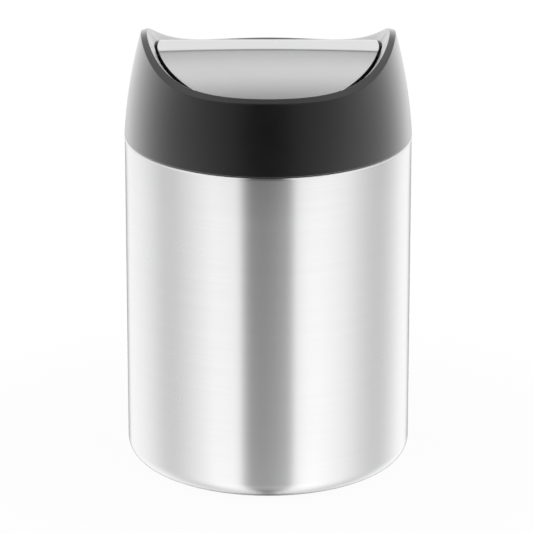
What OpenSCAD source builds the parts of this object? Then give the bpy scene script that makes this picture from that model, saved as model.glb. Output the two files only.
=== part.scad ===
// Countertop trash can with a swing lid.
// Millimetres, +Z up. The origin is on the can's axis, on the surface it stands on.
// The front is towards -Y, and the lid swings about a line along X through the two horns.

/* [Can] */
// Outside radius of the steel can
can_r = 57.5; // [54:0.5:62]
// Height of the steel can from its underside to its curled top edge
can_h = 135.5; // [120:0.5:160]
// Thickness of the steel sheet
sheet_t = 0.5; // [0.4:0.05:0.8]
// Radius of the rounded corner round the bottom
corner_r = 7; // [5:0.5:9]
// Outside radius of the safe curl at the top edge
curl_r = 1.3; // [1.1:0.1:1.6]
// Width of the flat flange turned in under the can
flange_w = 6.5; // [5:0.5:9]

/* [Base] */
// Height of the rubber foot ring below the can
foot_h = 1; // [0.6:0.1:2]
// Width of the foot ring
foot_w = 4.5; // [3:0.5:5]
// Thickness of the base plate
plate_t = 0.6; // [0.5:0.1:1]
// Height that the middle of the base plate is raised by
plate_rise = 0.8; // [0.4:0.1:1.5]
// Width of the seat round the edge of the base plate
plate_seat_w = 5; // [4:0.5:7]

/* [Pail] */
// Width of the pail's turned-down rim, from its wall outwards
pail_rim_w = 2.5; // [2:0.1:4]
// How much smaller the pail's radius is at its base than below its rim
pail_taper = 5; // [2:0.5:8]
// Wall of the pail
pail_wall = 1.2; // [0.9:0.1:1.8]
// Rounding round the pail's base
pail_corner_r = 4; // [2.5:0.5:6]
// Depth of the pail's turned-down rim
pail_rim_h = 3.5; // [2.5:0.5:6]
// Radial gap between the pail's rim and the curl it is lifted past
pail_gap = 0.4; // [0.3:0.1:1]
// Gap between the pail's rim and the sleeve above it
pail_headroom = 1.5; // [1:0.5:4]

/* [Collar] */
// How far the widest part of the collar's barrel curve stands out past the can
collar_over = 0.5; // [0.4:0.1:1]
// Radius of the barrel curve of the collar's outside, seen from the front
barrel_arc = 205; // [190:5:260]
// Height of the horns above the lid's flat top
horn_over = 5.3; // [4.8:0.1:9]
// How far forward of the line the lid swings about the horns are highest
horn_lead = 1.5; // [0:0.5:3]
// Height of the rim above the edge of the lid's opening at the front
rim_front_over = 5.6; // [4:0.1:8]
// Height of the rim above the edge of the lid's opening at the back
rim_back_over = 0.9; // [0.8:0.1:6]
// How far forward of the horns the rim sweeps down to its low front
sweep_front = 50; // [45:1:54]
// How far behind the horns the rim sweeps down to its low back
sweep_back = 57; // [50:1:60]
// Thickness of the collar's outer wall
collar_wall = 2.2; // [1.8:0.1:2.8]
// Width of the rim, across its top
rim_w = 2.4; // [2:0.1:3]
// How far the rim's inner edge is raised and its outer edge lowered, all the way round
rim_tilt = 0.3; // [0:0.1:0.5]
// How much further they are raised and lowered at the front
rim_lean = 0.5; // [0:0.1:0.8]
// Rounding of the rim's two edges
rim_round = 0.6; // [0.3:0.1:0.9]
// Thickness of the funnel inside the rim
funnel_t = 1.8; // [1.4:0.1:2.4]
// Thickness of the throat under the funnel
throat_t = 1.6; // [1.2:0.1:2.2]
// Gap between the collar's bottom edge and the can
seat_gap = 0.1; // [0.05:0.05:0.3]

/* [Sleeve] */
// Thickness of the sleeve's flange, under the collar
sleeve_flange_t = 1.5; // [1.2:0.1:2.5]
// Depth of the sleeve's skirt inside the can
skirt_h = 15.5; // [12:0.5:22]
// Thickness of the skirt
skirt_t = 1.6; // [1.3:0.1:2]
// Radial gap between the skirt and the curl
skirt_gap = 0.4; // [0.3:0.05:0.6]
// Height of the grip ring
grip_h = 2; // [1.6:0.1:2.6]
// Depth of the groove that the grip ring sits in
groove_d = 0.7; // [0.5:0.05:0.9]
// Radial gap between the grip ring and the curl
grip_gap = 0.06; // [0.02:0.01:0.1]
// Number of screws that hold the sleeve
sleeve_screw_n = 4; // [3:1:6]
// Gap between the heads of the sleeve screws and the skirt outside them
screw_inset = 1.3; // [1:0.1:1.7]
// Radius of the pillars that the sleeve screws run into
pillar_r = 3; // [2.5:0.1:3.2]
// Height of the pillars above the sleeve
pillar_h = 12; // [9:0.5:14]

/* [Screws] */
// Radius of the screw shanks
shank_r = 1.2; // [1:0.1:1.4]
// Radial clearance of the screws in the pieces they pass through
screw_gap = 0.15; // [0.1:0.05:0.3]
// Radius of the screw heads
screw_head_r = 2.6; // [2.2:0.1:2.9]
// Height of the screw heads
screw_head_h = 1.7; // [1.2:0.1:2.2]
// Length of the screws that hold the sleeve, below the head
sleeve_screw_l = 8; // [6:0.5:10]
// Length of the screws that hold the weight, below the head
weight_screw_l = 8.5; // [7:0.5:9.5]

/* [Lid] */
// Distance of the lid's edge inside the collar's widest part
lid_inset = 13.8; // [13.4:0.1:15]
// Gap between the lid's edge and the opening all round it
lid_gap = 1.1; // [1:0.1:1.8]
// Height of the lid's flat top above the can
crest_h = 37.2; // [36.5:0.1:39]
// How far the lid lies below the edge of its opening
lid_sink = 0.4; // [0:0.1:0.8]
// Distance of each fold of the lid from the line through the horns
fold_y = 7.2; // [5:0.1:10]
// Angle that the lid falls away at in front of and behind its folds
slope_deg = 20; // [16:0.5:22]
// Radius of the lid's slight crown, seen from the front
crown_r = 2000; // [1000:100:3000]
// Thickness of the lid sheet
skin_t = 0.6; // [0.5:0.05:0.9]
// Depth of the lid sheet's turned-down edge
hem_h = 2.6; // [2:0.1:3]

/* [Lid frame] */
// Radial gap between the frame and the sheet's turned-down edge
frame_gap = 0.2; // [0.1:0.05:0.4]
// Thickness of the frame's web under the sheet
web_t = 1.8; // [1.4:0.1:2.2]
// Width of the frame's edge rib
edge_rib_w = 1.6; // [1.2:0.1:2.5]
// Depth of the frame's edge rib below its web
edge_rib_h = 1.2; // [0.8:0.1:1.8]
// Radius of the frame's bosses round the pivot pins
pin_boss_r = 3.4; // [2.8:0.1:3.6]
// Length of the frame's bosses round the pivot pins
pin_boss_l = 8; // [6:0.5:10]
// Radius of the frame's posts that carry the weight
post_r = 3.2; // [2.6:0.1:4]

/* [Pivot] */
// Distance of the pivot line below the lid's flat top
pivot_drop = 5.6; // [5.2:0.1:6.1]
// Radius of the pivot pins
pin_r = 1.5; // [1.2:0.05:1.8]
// Length of the pivot pins
pin_l = 14.4; // [13:0.1:14.8]
// Radial running gap between pin and bush
pin_gap = 0.06; // [0.02:0.01:0.1]
// Wall of the bushes
bush_wall = 1.44; // [1.1:0.02:1.6]
// Length of the bushes
bush_l = 4.8; // [4:0.1:5]
// Wall of the horn's boss round each bush
bush_boss_wall = 2; // [1.4:0.1:2.4]

/* [Lid stops] */
// Angle that the lid opens to either way before it meets the stops
open_deg = 70; // [60:1:72]
// Gap left between the open lid and the stop it comes to
stop_gap = 0.2; // [0.1:0.05:0.5]
// How far the stops reach inwards past the lid's edge
stop_reach = 6.5; // [4:0.5:9]
// Distance of the top of the stops below the pivot line
stop_drop = 6.5; // [6:0.1:8]
// Height of the stops
stop_h = 16; // [12:0.5:20]
// Wall of the stops, which are hollow from below
stop_wall = 1.6; // [1.2:0.1:2]

/* [Weight] */
// Gap between the ends of the balance weight and the bosses of the pins
weight_end_gap = 4.8; // [3:0.2:8]
// Width of the balance weight
weight_w = 9; // [7:0.5:12]
// Thickness of the balance weight
weight_t = 5; // [4:0.5:6]
// Distance of the top of the weight below the pivot line
weight_drop = 2.6; // [2:0.1:4]
// Distance of the two posts that carry the weight from its ends
post_inset = 8; // [5:0.5:12]

/* [Hidden] */

$fn = 96;
// Overlap that lets one solid run into the next, and cuts run past a face
eps = 0.5;
// Sides of the collar's swept form round the axis, and steps up its walls and its rounded edges
sweep_n = 64;
outer_n = 6;
inner_n = 4;
round_n = 3;

steel_col = [0.78, 0.79, 0.80];
dark_col = [0.13, 0.13, 0.14];
pail_col = [0.30, 0.31, 0.32];
rubber_col = [0.08, 0.08, 0.08];
screw_col = [0.62, 0.63, 0.65];
bush_col = [0.88, 0.87, 0.82];

// Heights above the surface that the can stands on
can_z = foot_h;
can_top = can_z + can_h;
plate_z = can_z + sheet_t;
floor_z = plate_z + plate_rise + plate_t;
pivot_h = crest_h - pivot_drop;
pivot_z = can_top + pivot_h;
weight_z = pivot_z - weight_drop - weight_t;

// Radii of what fits inside the can
curl_in_r = can_r - 2 * curl_r;
skirt_r = curl_in_r - skirt_gap;
grip_out_r = curl_in_r - grip_gap;
flange_in_r = can_r - corner_r - flange_w;
plate_r = can_r - corner_r;
pail_rim_r = curl_in_r - pail_gap;
pail_top_r = pail_rim_r - pail_rim_w;
pail_base_r = pail_top_r - pail_taper;
sleeve_screw_r = skirt_r - skirt_t - screw_head_r - screw_inset;
sleeve_flange_z = seat_gap + sleeve_flange_t;
skirt_z = can_top + seat_gap - skirt_h;
pail_z = floor_z + seat_gap;
pail_h = skirt_z - pail_headroom - pail_z;

// Radii of the collar, the lid and the opening it hangs in, and what the lid carries
collar_r = can_r + collar_over;
lid_r = collar_r - lid_inset;
opening_r = lid_r + lid_gap;
frame_r = lid_r - skin_t - frame_gap;
pin_in_x = frame_r - pin_boss_l;
weight_l = 2 * (pin_in_x - weight_end_gap);
post_pitch = weight_l - 2 * post_inset;
bush_r = pin_r + pin_gap + bush_wall;
bush_boss_r = bush_r + bush_boss_wall;
slope = tan(slope_deg);

// Depth of the barrel curve's centre below the can's edge
barrel_low = 12;

// Height of the lid's sheet at the point x, y
function roof_h(x, y) = crest_h - x ^ 2 / (2 * crown_r) - slope * max(abs(y) - fold_y, 0);

// Height of the opening's edge in the direction a, a little above the lid beside it
function opening_z(a) = roof_h(opening_r * cos(a), opening_r * sin(a)) + lid_sink;

// Heights of the rim above the can
horn_h = crest_h + horn_over;
rim_front_h = opening_z(270) + rim_front_over;
rim_back_h = opening_z(90) + rim_back_over;

// Outside radius of the collar at height z above the can
function barrel_r(z) = collar_r - barrel_arc + sqrt(barrel_arc ^ 2 - (z + barrel_low) ^ 2);

// Smooth sweep from 1 at the horns to 0 at the low part of the rim
function swell(t) = (1 + cos(180 * min(abs(t), 1))) / 2;

// Height of the rim at distance y behind the line through the horns
function rim_h(y) =
    let (back = y + horn_lead)
    back < 0 ? rim_front_h + (horn_h - rim_front_h) * swell(back / sweep_front)
             : rim_back_h + (horn_h - rim_back_h) * swell(back / sweep_back);

// Height of the rim in the direction a, on its outer edge, before it leans
function rim_z(a) = rim_h(barrel_r(rim_h(barrel_r(horn_h) * sin(a))) * sin(a));

// How far the rim's inner edge is raised and its outer edge is lowered in the direction a
function lean_z(a) = rim_tilt + (a > 180 ? rim_lean * (1 - cos(a) ^ 6) : 0);

// Distance of the open lid's lowest underside from the upright plane through the pivot line,
// at the height z below that line
function open_lid_y(z) =
    let (under_z = roof_h(frame_r, fold_y) - skin_t - web_t - edge_rib_h - pivot_h,
         turn = slope_deg + open_deg)
    ((under_z + slope * fold_y) * cos(slope_deg) + z * cos(turn)) / sin(turn);

// Half section of the collar in the direction a, as [radius, height above the can]
function collar_section(a) =
    let (rim = rim_z(a) - lean_z(a),
         edge = opening_z(a),
         rim_out = barrel_r(rim),
         rim_in = rim_out - rim_w,
         rim_in_z = rim_h(rim_in * sin(a)) + lean_z(a),
         dr = rim_in - opening_r,
         dz = max(rim_in_z - rim_round - edge, 0.2),
         len = norm([dr, dz]),
         // a point and the run of the funnel's underside
         under_r = opening_r + funnel_t * dz / len,
         under_z = edge - funnel_t * dr / len,
         run = dr / dz,
         corner_z = under_z + (opening_r + throat_t - under_r) / run,
         // where that underside meets the inside of the outer wall
         near_z = rim - collar_wall,
         lean = (near_z + barrel_low) / sqrt(barrel_arc ^ 2 - (near_z + barrel_low) ^ 2),
         wall_r = barrel_r(near_z) - collar_wall,
         apex_z = (wall_r + lean * near_z - under_r + under_z * run) / (run + lean))
    concat(
        [[barrel_r(seat_gap) - rim_round / 2, seat_gap]],
        [for (i = [0 : outer_n])
            let (z = seat_gap + rim_round / 2
                     + (rim - rim_round * 1.5 - seat_gap) * i / outer_n)
            [barrel_r(z), z]],
        [for (i = [1 : round_n])
            let (t = 90 * i / round_n)
            [rim_out - rim_round * (1 - cos(t)), rim - rim_round * (1 - sin(t))]],
        [for (i = [0 : round_n])
            let (t = 90 - 90 * i / round_n)
            [rim_in + rim_round * (1 - cos(t)), rim_in_z - rim_round * (1 - sin(t))]],
        [[opening_r + rim_round / 2, edge],
         [opening_r, edge - rim_round / 2],
         [opening_r, sleeve_flange_z],
         [opening_r + throat_t, sleeve_flange_z],
         [opening_r + throat_t, corner_z]],
        [for (i = [0 : inner_n])
            let (z = apex_z + (seat_gap - apex_z) * i / inner_n)
            [barrel_r(z) - collar_wall, z]]
    );

// Solid swept round the axis through sections that all have the same number of points
module swept_ring(sections) {
    n = len(sections);
    m = len(sections[0]);
    points = [for (i = [0 : n - 1], p = sections[i])
        [p[0] * cos(360 * i / n), p[0] * sin(360 * i / n), p[1]]];
    faces = [for (i = [0 : n - 1], j = [0 : m - 1])
        let (a = i * m + j,
             b = i * m + (j + 1) % m,
             c = ((i + 1) % n) * m + (j + 1) % m,
             d = ((i + 1) % n) * m + j)
        each [[a, b, c], [a, c, d]]];
    polyhedron(points, faces);
}

// Plain ring between two radii
module ring(r_out, r_in, h) {
    difference() {
        cylinder(r = r_out, h = h);
        translate([0, 0, -eps]) cylinder(r = r_in, h = h + 2 * eps);
    }
}

// Rod along X between two distances from the axis, on the side given
module side_rod(side, r, x0, x1) {
    translate([side * x0, 0, pivot_z]) rotate([0, side * 90, 0]) cylinder(r = r, h = x1 - x0);
}

// Places its children at each sleeve screw
module at_sleeve_screws() {
    for (i = [0 : sleeve_screw_n - 1])
        rotate([0, 0, 45 + 360 * i / sleeve_screw_n]) translate([sleeve_screw_r, 0, 0]) children();
}

// Places its children at each post of the weight
module at_posts() {
    for (side = [-1, 1]) translate([side * post_pitch / 2, 0, 0]) children();
}

// Screw with its head below z = 0 and its shank above
module screw(shank_l) {
    cylinder(r = shank_r, h = shank_l);
    difference() {
        translate([0, 0, -screw_head_h]) cylinder(r = screw_head_r, h = screw_head_h);
        translate([0, 0, -screw_head_h - eps])
            cylinder(r = screw_head_r / 2, h = eps + screw_head_h * 0.6, $fn = 6);
    }
}

// Roof-shaped layer of the lid: from drop to drop + t below the top of the sheet
module roof_layer(drop, t) {
    reach = can_r;
    low = slope * (reach - fold_y);
    half_deg = asin(reach / crown_r);
    top = crown_r - drop;
    translate([0, 0, can_top + crest_h - crown_r])
        rotate([0, 0, 90]) rotate([0, -90, 0]) rotate([0, 0, -half_deg])
            rotate_extrude(angle = 2 * half_deg, $fn = 1440)
                polygon([[top - low, -reach], [top, -fold_y], [top, fold_y], [top - low, reach],
                         [top - t - low, reach], [top - t, fold_y], [top - t, -fold_y],
                         [top - t - low, -reach]]);
}

// Upright round bar round the lid's axis, tall enough to cut any layer of the lid
module lid_round(r) {
    translate([0, 0, can_top]) cylinder(r = r, h = crest_h + eps);
}

// --- can ---

module shell_section() {
    corner_x = can_r - corner_r;
    translate([can_r - sheet_t, can_z + corner_r]) square([sheet_t, can_h - corner_r - curl_r]);
    translate([flange_in_r, can_z]) square([flange_w, sheet_t]);
    intersection() {
        translate([corner_x, can_z + corner_r]) difference() {
            circle(r = corner_r);
            circle(r = corner_r - sheet_t);
        }
        translate([corner_x, can_z]) square([corner_r, corner_r]);
    }
    translate([can_r - curl_r, can_top - curl_r]) difference() {
        circle(r = curl_r);
        circle(r = curl_r - sheet_t);
        translate([0, -curl_r]) square([curl_r - sheet_t, curl_r]);
    }
}

module steel_shell() {
    color(steel_col) rotate_extrude() shell_section();
}

module base_plate() {
    step_r = plate_r - plate_seat_w;
    color(steel_col) translate([0, 0, plate_z]) rotate_extrude()
        polygon([[0, plate_rise], [step_r - plate_rise, plate_rise], [step_r, 0], [plate_r, 0],
                 [plate_r, plate_t], [step_r, plate_t],
                 [step_r - plate_rise, plate_rise + plate_t], [0, plate_rise + plate_t]]);
}

module foot_ring() {
    foot_in_r = flange_in_r + (flange_w - foot_w) / 2;
    color(rubber_col) ring(foot_in_r + foot_w, foot_in_r, foot_h);
}

// --- pail ---

// Cup shape with a rounded base, its base on z = 0
module cup(base_r, top_r, corner, h) {
    rotate_extrude() {
        polygon([[0, 0], [base_r - corner, 0], [base_r - corner, corner], [base_r, corner],
                 [top_r, h], [0, h]]);
        intersection() {
            translate([base_r - corner, corner]) circle(r = corner);
            square([base_r, corner]);
        }
    }
}

module inner_pail() {
    color(pail_col) translate([0, 0, pail_z]) {
        difference() {
            cup(pail_base_r, pail_top_r, pail_corner_r, pail_h);
            translate([0, 0, pail_wall])
                cup(pail_base_r - pail_wall, pail_top_r - pail_wall, pail_corner_r - pail_wall,
                    pail_h);
        }
        translate([0, 0, pail_h - pail_wall])
            ring(pail_rim_r, pail_top_r - pail_wall, pail_wall);
        translate([0, 0, pail_h - pail_rim_h])
            ring(pail_rim_r, pail_rim_r - pail_wall, pail_rim_h);
    }
}

// --- collar ---

// Stop under one horn, which the open lid's underside meets
module lid_stop(side) {
    stop_w = 2 * (min(open_lid_y(stop_drop), open_lid_y(stop_drop + stop_h)) - stop_gap);
    in_x = lid_r - stop_reach;
    out_x = opening_r + throat_t / 2;
    top_z = pivot_z - stop_drop;
    difference() {
        translate([min(side * in_x, side * out_x), -stop_w / 2, top_z - stop_h])
            cube([out_x - in_x, stop_w, stop_h]);
        translate([min(side * (in_x + stop_wall), side * opening_r),
                   -stop_w / 2 + stop_wall, top_z - stop_h - eps])
            cube([opening_r - in_x - stop_wall - eps, stop_w - 2 * stop_wall,
                  stop_h - stop_wall + eps]);
    }
}

module collar() {
    boss_in_x = opening_r + throat_t / 2;
    bush_end_x = opening_r + bush_l;
    color(dark_col) difference() {
        union() {
            translate([0, 0, can_top])
                swept_ring([for (i = [0 : sweep_n - 1]) collar_section(360 * i / sweep_n)]);
            translate([0, 0, can_top + sleeve_flange_z])
                at_sleeve_screws() cylinder(r = pillar_r, h = pillar_h);
            for (side = [-1, 1]) {
                side_rod(side, bush_boss_r, boss_in_x, bush_end_x + eps);
                lid_stop(side);
            }
        }
        for (side = [-1, 1]) side_rod(side, bush_r, opening_r - eps, bush_end_x);
        translate([0, 0, can_top]) at_sleeve_screws()
            cylinder(r = shank_r, h = seat_gap + sleeve_screw_l + eps);
    }
}

module collar_sleeve() {
    rim_in_r = barrel_r(sleeve_flange_z) - collar_wall - seat_gap;
    groove_z = can_top - curl_r - grip_h / 2;
    color(dark_col) difference() {
        union() {
            translate([0, 0, can_top + seat_gap]) ring(rim_in_r, opening_r, sleeve_flange_t);
            translate([0, 0, skirt_z]) ring(skirt_r, skirt_r - skirt_t, skirt_h + eps);
        }
        translate([0, 0, groove_z]) ring(skirt_r + eps, skirt_r - groove_d, grip_h);
        translate([0, 0, can_top - eps]) at_sleeve_screws()
            cylinder(r = shank_r + screw_gap, h = sleeve_flange_t + 2 * eps + seat_gap);
    }
}

module grip_ring() {
    color(rubber_col) translate([0, 0, can_top - curl_r - grip_h / 2])
        ring(grip_out_r, skirt_r - groove_d, grip_h);
}

module sleeve_screws() {
    color(screw_col) translate([0, 0, can_top + seat_gap]) at_sleeve_screws()
        screw(sleeve_screw_l);
}

module pivot_bush(side) {
    color(bush_col) difference() {
        side_rod(side, bush_r, opening_r, opening_r + bush_l);
        side_rod(side, pin_r + pin_gap, opening_r - eps, opening_r + bush_l + eps);
    }
}

// --- lid ---

module lid_skin() {
    color(steel_col) {
        intersection() {
            lid_round(lid_r);
            roof_layer(0, skin_t);
        }
        intersection() {
            difference() {
                lid_round(lid_r);
                lid_round(lid_r - skin_t);
            }
            roof_layer(0, hem_h);
        }
    }
}

module lid_frame() {
    post_top = pivot_z - weight_drop;
    color(dark_col) difference() {
        union() {
            intersection() {
                lid_round(frame_r);
                roof_layer(skin_t, web_t);
            }
            intersection() {
                difference() {
                    lid_round(frame_r);
                    lid_round(frame_r - edge_rib_w);
                }
                roof_layer(skin_t, web_t + edge_rib_h);
            }
            for (side = [-1, 1]) side_rod(side, pin_boss_r, pin_in_x, frame_r - frame_gap);
            translate([0, 0, post_top]) at_posts()
                cylinder(r = post_r, h = crest_h - skin_t - web_t / 2 - pivot_h + weight_drop);
        }
        for (side = [-1, 1]) side_rod(side, pin_r, pin_in_x - eps, frame_r + eps);
        translate([0, 0, weight_z - eps]) at_posts()
            cylinder(r = shank_r, h = weight_screw_l + eps);
    }
}

module pivot_pin(side) {
    color(screw_col) side_rod(side, pin_r, pin_in_x, pin_in_x + pin_l);
}

module balance_weight() {
    color(steel_col) difference() {
        translate([-weight_l / 2, -weight_w / 2, weight_z]) cube([weight_l, weight_w, weight_t]);
        translate([0, 0, weight_z - eps]) at_posts()
            cylinder(r = shank_r + screw_gap, h = weight_t + 2 * eps);
    }
}

module weight_screws() {
    color(screw_col) translate([0, 0, weight_z]) at_posts() screw(weight_screw_l);
}

steel_shell();
base_plate();
foot_ring();
inner_pail();
collar();
collar_sleeve();
grip_ring();
sleeve_screws();
pivot_bush(-1);  // pivot_bush_left
pivot_bush(1);  // pivot_bush_right
lid_skin();
lid_frame();
pivot_pin(-1);  // pivot_pin_left
pivot_pin(1);  // pivot_pin_right
balance_weight();
weight_screws();
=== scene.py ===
"""Looks of a countertop trash can with a swing lid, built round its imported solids.

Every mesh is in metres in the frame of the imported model: +Z up, the origin on the can's axis on
the surface it stands on, the front towards -Y. The lid swings about a line along X through the
two horns. Sizes are given in millimetres as fields of the classes that use them.
"""

import logging
import math
from dataclasses import dataclass
from enum import Enum
from typing import Callable, Mapping, Sequence, Union

import bmesh
import bpy
import numpy as np
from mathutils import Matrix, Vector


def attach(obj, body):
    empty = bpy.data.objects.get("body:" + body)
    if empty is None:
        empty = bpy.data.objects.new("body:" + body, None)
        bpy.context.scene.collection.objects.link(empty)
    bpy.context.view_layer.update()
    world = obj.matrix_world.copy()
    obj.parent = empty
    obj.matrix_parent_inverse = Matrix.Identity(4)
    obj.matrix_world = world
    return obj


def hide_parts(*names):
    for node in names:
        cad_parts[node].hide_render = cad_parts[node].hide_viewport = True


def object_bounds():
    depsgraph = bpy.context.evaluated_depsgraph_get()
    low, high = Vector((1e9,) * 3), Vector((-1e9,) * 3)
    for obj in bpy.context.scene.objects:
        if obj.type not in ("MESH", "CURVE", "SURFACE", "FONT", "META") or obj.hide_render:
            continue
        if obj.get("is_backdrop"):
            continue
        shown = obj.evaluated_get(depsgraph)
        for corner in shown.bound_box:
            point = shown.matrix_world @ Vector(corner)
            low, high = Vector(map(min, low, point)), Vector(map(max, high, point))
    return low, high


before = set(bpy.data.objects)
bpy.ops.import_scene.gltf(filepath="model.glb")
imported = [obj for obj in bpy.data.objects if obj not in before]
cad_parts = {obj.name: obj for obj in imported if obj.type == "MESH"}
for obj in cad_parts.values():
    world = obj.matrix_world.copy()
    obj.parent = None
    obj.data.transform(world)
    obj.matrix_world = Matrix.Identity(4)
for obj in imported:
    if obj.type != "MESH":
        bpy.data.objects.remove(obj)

LOG = logging.getLogger("trash_can")
MM = 0.001
MERGE_DISTANCE = 1e-7
# a rounding takes at most this share of each of the two edges that it joins
LONGEST_ROUNDING = 0.45
Colour = tuple[float, float, float]
# cells of a noise in one metre, along x, y and z
Cells = tuple[float, float, float]
# value where a ramp starts and value where it ends
Fade = tuple[float, float]
Number = Union["Channel", float]


class Side(Enum):
    """The two ends of the line that the lid swings about."""

    LEFT = -1
    RIGHT = 1


class Grain(Enum):
    """Which way the brushing runs on a steel piece."""

    ROUND = "round the axis"
    ACROSS = "along the swing line"


# --- shader maths -----------


class Channel:
    """A socket that takes part in sums; each operation adds its own node."""

    def __init__(self, recipe: "Recipe", socket: bpy.types.NodeSocket) -> None:
        """Wraps one output socket of the recipe's node tree."""
        self.recipe = recipe
        self.socket = socket

    def _with(self, operation: str, *others: Number) -> "Channel":
        """Returns the Math node of this operation on the channel and the others."""
        return self.recipe.maths(operation, self, *others)

    def __add__(self, other: Number) -> "Channel":
        """Returns self + other."""
        return self._with("ADD", other)

    def __radd__(self, other: float) -> "Channel":
        """Returns other + self."""
        return self._with("ADD", other)

    def __sub__(self, other: Number) -> "Channel":
        """Returns self - other."""
        return self._with("SUBTRACT", other)

    def __rsub__(self, other: float) -> "Channel":
        """Returns other - self."""
        return self.recipe.maths("SUBTRACT", other, self)

    def __mul__(self, other: Number) -> "Channel":
        """Returns self * other."""
        return self._with("MULTIPLY", other)

    def __rmul__(self, other: float) -> "Channel":
        """Returns other * self."""
        return self._with("MULTIPLY", other)

    def __pow__(self, other: float) -> "Channel":
        """Returns self raised to other."""
        return self._with("POWER", other)

    def __rpow__(self, other: float) -> "Channel":
        """Returns other raised to self."""
        return self.recipe.maths("POWER", other, self)

    def __abs__(self) -> "Channel":
        """Returns the size of self without its sign."""
        return self._with("ABSOLUTE")

    def clipped(self) -> "Channel":
        """Returns self kept between 0 and 1."""
        return self._with("MAXIMUM", 0.0)._with("MINIMUM", 1.0)

    def step(self, low: float, high: float) -> "Channel":
        """Ramps smoothly from 0 where self is low to 1 where it is high.

        Args:
            low: value at which the ramp starts.
            high: value at which it ends; it may be the lower of the two.

        Returns:
            The ramp as a channel.
        """
        return self.recipe.node(
            "ShaderNodeMapRange",
            {"interpolation_type": "SMOOTHSTEP"},
            {"Value": self, "From Min": low, "From Max": high},
        )


class Recipe:
    """A node tree that is being filled, for a material or the world."""

    def __init__(self, tree: bpy.types.NodeTree) -> None:
        """Empties the tree and keeps it."""
        self.tree = tree
        tree.nodes.clear()

    def node(
        self,
        kind: str,
        settings: Mapping[str, object] | None = None,
        sockets: Mapping[str | int, object] | None = None,
        output: str | int = 0,
    ) -> Channel:
        """Adds one node.

        Args:
            kind: Blender's name of the node type.
            settings: the node's own settings, set first; "stops" is a ramp's list of
                (position, grey or colour).
            sockets: values or channels of its inputs, by name or number.
            output: the output that is handed back.

        Returns:
            The chosen output as a channel.
        """
        made = self.tree.nodes.new(kind)
        for key, value in (settings or {}).items():
            if key == "stops":
                self._fill_ramp(made.color_ramp, value)
            else:
                setattr(made, key, value)
        for key, value in (sockets or {}).items():
            self.feed(made.inputs[key], value)
        return Channel(self, made.outputs[output] if len(made.outputs) else None)

    @staticmethod
    def _fill_ramp(ramp: bpy.types.ColorRamp, stops: Sequence[tuple[float, float]]) -> None:
        """Sets the stops of a ramp of greys.

        Args:
            ramp: the ramp.
            stops: (position, grey) of each stop, in rising order.
        """
        while len(ramp.elements) < len(stops):
            ramp.elements.new(1.0)
        for element, (place, grey) in zip(ramp.elements, stops):
            element.position = place
            element.color = (grey, grey, grey, 1.0)

    def feed(self, socket: bpy.types.NodeSocket, value: object) -> None:
        """Links a channel to an input, or writes a number, colour or vector on it.

        Args:
            socket: the input.
            value: channel, number, colour or vector.
        """
        if isinstance(value, Channel):
            self.tree.links.new(value.socket, socket)
        elif isinstance(value, (tuple, list)):
            length = len(socket.default_value)
            socket.default_value = (*value, 1.0)[:length] if length == 4 else tuple(value)
        else:
            socket.default_value = value

    def maths(self, operation: str, *values: Number) -> Channel:
        """Returns a Math node of the operation on up to three numbers or channels."""
        return self.node("ShaderNodeMath", {"operation": operation}, dict(enumerate(values)))

    def blend(self, factor: Number, first: object, second: object) -> Channel:
        """Returns a mix of two colours: the first at factor 0, the second at factor 1."""
        sockets = {0: factor, 6: first, 7: second}
        return self.node("ShaderNodeMix", {"data_type": "RGBA"}, sockets, 2)

    def tinted(self, colour: Colour, amount: Channel, strength: float) -> Channel:
        """Darkens and lightens a colour.

        Args:
            colour: the colour at amount 0.5.
            amount: channel from 0 to 1.
            strength: share by which the colour changes at 0 and at 1.

        Returns:
            The varied colour.
        """
        dark = tuple(c * (1.0 - strength) for c in colour)
        light = tuple(min(c * (1.0 + strength), 1.0) for c in colour)
        return self.blend(amount, dark, light)

    def place(self) -> Channel:
        """Returns the point on the piece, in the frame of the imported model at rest."""
        return self.node("ShaderNodeTexCoord", output="Object")

    def axes(self, vector: Channel) -> tuple[Channel, Channel, Channel]:
        """Returns a vector's x, y and z."""
        split = self.node("ShaderNodeSeparateXYZ", sockets={0: vector}).socket.node
        return tuple(Channel(self, split.outputs[i]) for i in range(3))

    def stretched(self, vector: Channel, scale: Sequence[float]) -> Channel:
        """Returns a vector with each axis multiplied by its own scale."""
        sockets = {0: vector, 1: tuple(scale)}
        return self.node("ShaderNodeVectorMath", {"operation": "MULTIPLY"}, sockets)

    def noise(
        self, place: Channel, cells: Sequence[float], detail: float, rough: float = 0.5
    ) -> Channel:
        """Returns a noise from 0 to 1.

        Args:
            place: where the noise is taken, in metres.
            cells: its cells in one metre, along x, y and z.
            detail: octaves of finer noise.
            rough: strength of the finer octaves.

        Returns:
            The noise as a channel.
        """
        vector = self.stretched(place, cells)
        return self.node(
            "ShaderNodeTexNoise",
            sockets={"Vector": vector, "Scale": 1.0, "Detail": detail, "Roughness": rough},
        )

    def bump(self, height: Channel, depth_mm: float) -> Channel:
        """Returns the normal over a relief of this depth, for a height from 0 to 1."""
        sockets = {"Height": height, "Strength": 1.0, "Distance": depth_mm * MM}
        return self.node("ShaderNodeBump", sockets=sockets)


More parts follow.
